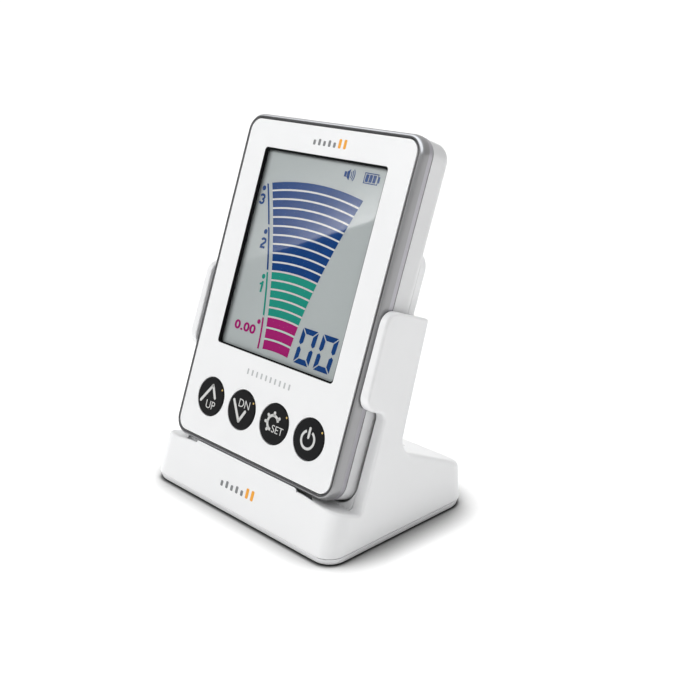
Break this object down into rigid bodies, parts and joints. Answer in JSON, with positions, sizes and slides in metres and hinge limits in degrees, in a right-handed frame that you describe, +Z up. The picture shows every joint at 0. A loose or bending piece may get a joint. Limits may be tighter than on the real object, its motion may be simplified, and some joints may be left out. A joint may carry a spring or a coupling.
{
  "type": "apex locator",
  "caption": "Flat hand-held dental measuring unit with a display and round keys, standing in a leaning desk cradle with two side arms.",
  "frame": {"origin": "on the desk, under the middle of the whole object's box", "axes": "+X to the right when facing the display, +Y to the back (the display faces -Y and leans back 20 degrees), +Z up"},
  "size_m": [0.0748, 0.0544, 0.1039],
  "materials": {
    "white_plastic": "fine satin white moulding",
    "face_white": "smooth white face plate",
    "silver_trim": "satin silver paint with a lilac tint",
    "clear_window": "clear polished window",
    "black_plastic": "black moulding",
    "key_black": "satin black key with light grey symbol",
    "lcd_grey": "grey-green display with coloured segments",
    "light_guide": "milky light guide",
    "green_board": "green solder mask",
    "chip_black": "moulded component body",
    "dark_rubber": "dark rubber",
    "contact_brass": "plated contact",
    "steel": "plain steel",
    "battery_foil": "foil pouch of the battery pack"
  },
  "bodies": {
    "cradle": {"cradle_body": "white_plastic", "base_plate": "white_plastic", "ballast": "steel", "base_screw_1": "steel", "base_screw_2": "steel", "base_screw_3": "steel", "base_screw_4": "steel", "foot_1": "dark_rubber", "foot_2": "dark_rubber", "foot_3": "dark_rubber", "foot_4": "dark_rubber"},
    "handset": {"front_panel": "face_white", "trim_band": "silver_trim", "rear_case": "white_plastic", "window_lens": "clear_window", "lcd_gasket": "black_plastic", "lcd_glass": "lcd_grey", "lcd_backlight": "light_guide", "zebra_strip": "dark_rubber", "main_board": "green_board", "controller_chip": "chip_black", "buzzer": "chip_black", "battery_pack": "battery_foil", "battery_contacts": "contact_brass", "probe_socket": "black_plastic", "key_mat": "dark_rubber", "key_switch_1": "chip_black", "key_switch_2": "chip_black", "key_switch_3": "chip_black", "key_switch_4": "chip_black", "case_screw_1": "steel", "case_screw_2": "steel", "case_screw_3": "steel", "case_screw_4": "steel"},
    "door": {"battery_door": "white_plastic"},
    "key_up": {"button_up": "key_black"},
    "key_down": {"button_down": "key_black"},
    "key_set": {"button_set": "key_black"},
    "key_power": {"button_power": "key_black"}
  },
  "joints": [
    {"name": "handset_lift", "type": "slide", "parent": "cradle", "child": "handset", "axis": [0, 0.342, 0.9397], "range_m": [0, 0.1]},
    {"name": "door_slide", "type": "slide", "parent": "handset", "child": "door", "axis": [0, 0.342, 0.9397], "range_m": [0, 0.045]},
    {"name": "press_up", "type": "slide", "parent": "handset", "child": "key_up", "axis": [0, 0.9397, -0.342], "range_m": [0, 0.0004], "stiffness_N_per_m": 1200},
    {"name": "press_down", "type": "slide", "parent": "handset", "child": "key_down", "axis": [0, 0.9397, -0.342], "range_m": [0, 0.0004], "stiffness_N_per_m": 1200},
    {"name": "press_set", "type": "slide", "parent": "handset", "child": "key_set", "axis": [0, 0.9397, -0.342], "range_m": [0, 0.0004], "stiffness_N_per_m": 1200},
    {"name": "press_power", "type": "slide", "parent": "handset", "child": "key_power", "axis": [0, 0.9397, -0.342], "range_m": [0, 0.0004], "stiffness_N_per_m": 1200}
  ]
}
